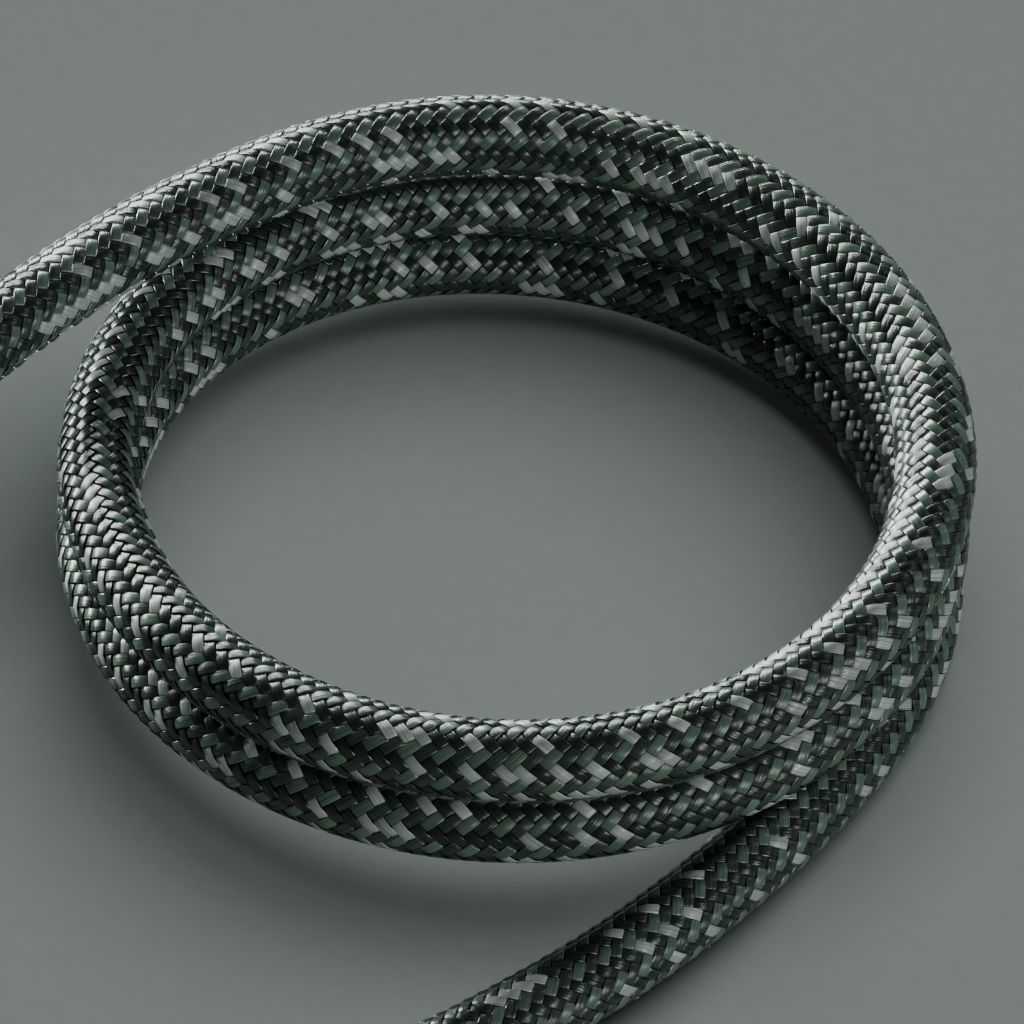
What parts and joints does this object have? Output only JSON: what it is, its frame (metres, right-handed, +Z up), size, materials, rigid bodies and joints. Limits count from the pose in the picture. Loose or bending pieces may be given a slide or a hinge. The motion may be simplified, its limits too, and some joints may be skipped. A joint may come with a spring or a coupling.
{
  "type": "charging cable",
  "caption": "Braided charging cable lying in an open coil, its spare length wound and strapped beside it, with a flat reversible plug at each end.",
  "frame": {"origin": "centre of the cable's footprint, on the surface that it lies on", "axes": "+X across the two coils, from the wound coil to the open coil; +Y towards the back of the open coil; +Z up"},
  "size_m": [0.1272, 0.1002, 0.0161],
  "materials": {
    "braid": "braided polyester, grey, black and green yarns",
    "strap": "hook-and-loop webbing, matt",
    "sleeve_aluminium": "anodised grey, satin",
    "cap_plastic": "fine moulded grain",
    "boot_rubber": "soft matt",
    "jacket": "smooth inner jacket",
    "shell_steel": "drawn, bright satin",
    "screen_steel": "stamped, dull",
    "insulator": "moulded",
    "gold": "gold flashed",
    "board": "solder mask",
    "chip": "moulded epoxy",
    "wire_red": "smooth",
    "wire_black": "smooth",
    "wire_green": "smooth",
    "wire_white": "smooth"
  },
  "bodies": {
    "cable": {"coil_ring": "braid", "wound_ring": "braid", "cord_upper": "braid", "cord_lower": "braid", "cord_exit": "braid", "strap_band": "strap", "plug_a_sleeve": "sleeve_aluminium", "plug_a_front_cap": "cap_plastic", "plug_a_rear_cap": "cap_plastic", "plug_a_boot": "boot_rubber", "plug_a_cord_end": "jacket", "plug_a_ferrule": "screen_steel", "plug_a_shell": "shell_steel", "plug_a_wafer_upper": "insulator", "plug_a_wafer_lower": "insulator", "plug_a_contacts_upper": "gold", "plug_a_contacts_lower": "gold", "plug_a_core": "insulator", "plug_a_mid_plate": "shell_steel", "plug_a_board": "board", "plug_a_chip": "chip", "plug_a_screen_upper": "screen_steel", "plug_a_screen_lower": "screen_steel", "plug_a_wire_power": "wire_red", "plug_a_wire_ground": "wire_black", "plug_a_wire_data_plus": "wire_green", "plug_a_wire_data_minus": "wire_white", "plug_b_sleeve": "sleeve_aluminium", "plug_b_front_cap": "cap_plastic", "plug_b_rear_cap": "cap_plastic", "plug_b_boot": "boot_rubber", "plug_b_cord_end": "jacket", "plug_b_ferrule": "screen_steel", "plug_b_shell": "shell_steel", "plug_b_wafer_upper": "insulator", "plug_b_wafer_lower": "insulator", "plug_b_contacts_upper": "gold", "plug_b_contacts_lower": "gold", "plug_b_core": "insulator", "plug_b_mid_plate": "shell_steel", "plug_b_board": "board", "plug_b_chip": "chip", "plug_b_screen_upper": "screen_steel", "plug_b_screen_lower": "screen_steel", "plug_b_wire_power": "wire_red", "plug_b_wire_ground": "wire_black", "plug_b_wire_data_plus": "wire_green", "plug_b_wire_data_minus": "wire_white"},
    "strap_flap": {"strap_flap": "strap"},
    "plug_a_latch_left": {"plug_a_latch_left": "shell_steel"},
    "plug_a_latch_right": {"plug_a_latch_right": "shell_steel"},
    "plug_b_latch_left": {"plug_b_latch_left": "shell_steel"},
    "plug_b_latch_right": {"plug_b_latch_right": "shell_steel"}
  },
  "joints": [
    {"name": "strap_flap_peel", "type": "hinge", "parent": "cable", "child": "strap_flap", "pos_m": [-0.02262, 0.04904, 0.00547], "axis": [1, 0, 0], "range_deg": [0, 90]},
    {"name": "plug_a_latch_left_spread", "type": "hinge", "parent": "cable", "child": "plug_a_latch_left", "pos_m": [0.0078, -0.04544, 0.0031], "axis": [0, 0, 1], "range_deg": [0, 2.5], "stiffness_Nm_per_rad": 0.02},
    {"name": "plug_a_latch_right_spread", "type": "hinge", "parent": "cable", "child": "plug_a_latch_right", "pos_m": [0.00404, -0.03977, 0.0031], "axis": [0, 0, -1], "range_deg": [0, 2.5], "stiffness_Nm_per_rad": 0.02},
    {"name": "plug_b_latch_left_spread", "type": "hinge", "parent": "cable", "child": "plug_b_latch_left", "pos_m": [-0.05341, -0.0352, 0.0031], "axis": [0, 0, 1], "range_deg": [0, 2.5], "stiffness_Nm_per_rad": 0.02},
    {"name": "plug_b_latch_right_spread", "type": "hinge", "parent": "cable", "child": "plug_b_latch_right", "pos_m": [-0.05685, -0.02934, 0.0031], "axis": [0, 0, -1], "range_deg": [0, 2.5], "stiffness_Nm_per_rad": 0.02}
  ]
}
